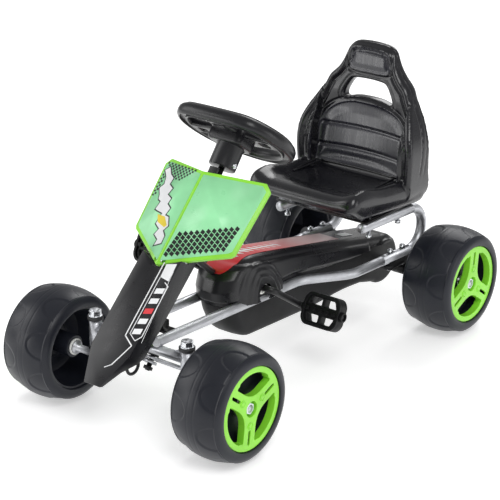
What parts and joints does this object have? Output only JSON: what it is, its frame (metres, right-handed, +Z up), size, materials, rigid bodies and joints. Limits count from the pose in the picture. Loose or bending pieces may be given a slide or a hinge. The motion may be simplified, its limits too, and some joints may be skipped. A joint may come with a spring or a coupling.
{
  "type": "pedal go kart",
  "caption": "Child's pedal go kart: tubular frame, bucket seat, chain drive in a case, linked steering and moulded wheels.",
  "frame": {"origin": "middle of the footprint, on the ground between the four tyres", "axes": "+Z up, the front points along -Y, the driver's left is +X"},
  "size_m": [0.433, 0.795, 0.473],
  "materials": {
    "silver_steel": "satin silver paint on steel tube",
    "black_steel": "black powder coat",
    "zinc_hardware": "bright zinc plate",
    "chain_steel": "oiled steel",
    "white_nylon": "plain nylon",
    "black_rubber": "matt",
    "tyre_plastic": "blow-moulded, satin, blue-black",
    "lime_plastic": "glossy lime",
    "pale_panel": "printed pale green film",
    "red_panel": "printed red film",
    "black_plastic": "moulded black plastic, satin",
    "seat_plastic": "moulded black, leather grain, glossy"
  },
  "bodies": {
    "frame": {"frame_rail_left": "silver_steel", "frame_rail_right": "silver_steel", "front_beam": "silver_steel", "kingpin_sleeve_left": "silver_steel", "kingpin_sleeve_right": "silver_steel", "column_lower_bracket": "black_steel", "column_strut": "black_steel", "column_foot_loop": "black_steel", "column_bushes": "white_nylon", "plate_bracket": "black_steel", "seat_bracket_left": "silver_steel", "seat_bracket_right": "silver_steel", "seat_bracket_bolts": "zinc_hardware", "seat_mount_plate": "black_steel", "seat_shell": "seat_plastic", "seat_bolts": "zinc_hardware", "nose_fairing": "black_plastic", "number_plate": "lime_plastic", "plate_panels": "pale_panel", "chain_case_cover": "black_plastic", "chain_case_tray": "black_plastic", "case_panel": "red_panel", "crank_bearing_blocks": "black_plastic", "crank_bushes": "white_nylon", "rear_bearing_left": "black_plastic", "rear_bearing_right": "black_plastic", "rear_axle_bushes": "white_nylon", "drive_chain": "chain_steel", "kingpin_bushes": "black_rubber"},
    "steering": {"steering_column": "black_steel", "steering_wheel": "black_plastic", "steering_cap": "black_plastic", "steering_bolt": "zinc_hardware", "steering_pin_nut": "zinc_hardware"},
    "knuckle_left": {"knuckle_left": "silver_steel", "kingpin_nut_left": "zinc_hardware", "front_nut_left": "zinc_hardware"},
    "knuckle_right": {"knuckle_right": "silver_steel", "kingpin_nut_right": "zinc_hardware", "front_nut_right": "zinc_hardware"},
    "tie_rod_left": {"tie_rod_left": "silver_steel", "tie_rod_nuts_left": "zinc_hardware"},
    "tie_rod_right": {"tie_rod_right": "silver_steel", "tie_rod_nuts_right": "zinc_hardware"},
    "front_wheel_left": {"front_tyre_left": "tyre_plastic", "front_rim_left": "lime_plastic", "front_bushes_left": "white_nylon"},
    "front_wheel_right": {"front_tyre_right": "tyre_plastic", "front_rim_right": "lime_plastic", "front_bushes_right": "white_nylon"},
    "rear_axle": {"rear_axle": "silver_steel", "rear_sprocket": "chain_steel", "rear_tyres": "tyre_plastic", "rear_rims": "lime_plastic", "rear_hub_sleeves": "zinc_hardware", "rear_nuts": "zinc_hardware"},
    "crank": {"crank": "black_steel", "chainring": "chain_steel"},
    "pedal_left": {"pedal_left": "black_plastic"},
    "pedal_right": {"pedal_right": "black_plastic"}
  },
  "joints": [
    {"name": "steer", "type": "hinge", "parent": "frame", "child": "steering", "pos_m": [0, -0.2805, 0.12], "axis": [0, 0.6157, 0.788], "range_deg": [-35, 35]},
    {"name": "kingpin_left", "type": "hinge", "parent": "frame", "child": "knuckle_left", "pos_m": [0.0918, -0.2875, 0.1], "axis": [0, 0, 1], "range_deg": [-23, 23]},
    {"name": "kingpin_right", "type": "hinge", "parent": "frame", "child": "knuckle_right", "pos_m": [-0.0918, -0.2875, 0.1], "axis": [0, 0, 1], "range_deg": [-23, 23]},
    {"name": "tie_rod_pin_left", "type": "hinge", "parent": "knuckle_left", "child": "tie_rod_left", "pos_m": [0.0918, -0.2475, 0.097], "axis": [0, 0, 1], "range_deg": [-23, 23]},
    {"name": "tie_rod_pin_right", "type": "hinge", "parent": "knuckle_right", "child": "tie_rod_right", "pos_m": [-0.0918, -0.2475, 0.097], "axis": [0, 0, 1], "range_deg": [-23, 23]},
    {"name": "front_spin_left", "type": "hinge", "parent": "knuckle_left", "child": "front_wheel_left", "pos_m": [0.17, -0.2875, 0.09], "axis": [1, 0, 0], "continuous": true},
    {"name": "front_spin_right", "type": "hinge", "parent": "knuckle_right", "child": "front_wheel_right", "pos_m": [-0.17, -0.2875, 0.09], "axis": [1, 0, 0], "continuous": true},
    {"name": "rear_spin", "type": "hinge", "parent": "frame", "child": "rear_axle", "pos_m": [0, 0.3075, 0.09], "axis": [1, 0, 0], "continuous": true},
    {"name": "crank_spin", "type": "hinge", "parent": "frame", "child": "crank", "pos_m": [0, -0.0478, 0.158], "axis": [1, 0, 0], "continuous": true},
    {"name": "pedal_spin_left", "type": "hinge", "parent": "crank", "child": "pedal_left", "pos_m": [0.114, 0.0235, 0.10991], "axis": [1, 0, 0], "continuous": true},
    {"name": "pedal_spin_right", "type": "hinge", "parent": "crank", "child": "pedal_right", "pos_m": [-0.114, -0.1191, 0.20609], "axis": [1, 0, 0], "continuous": true}
  ],
  "couplings": [
    {"joint": "kingpin_left", "follows": "steer", "ratio": 0.63},
    {"joint": "kingpin_right", "follows": "steer", "ratio": 0.63},
    {"joint": "tie_rod_pin_left", "follows": "steer", "ratio": -0.63},
    {"joint": "tie_rod_pin_right", "follows": "steer", "ratio": -0.63},
    {"joint": "crank_spin", "follows": "rear_spin", "ratio": 0.7}
  ]
}
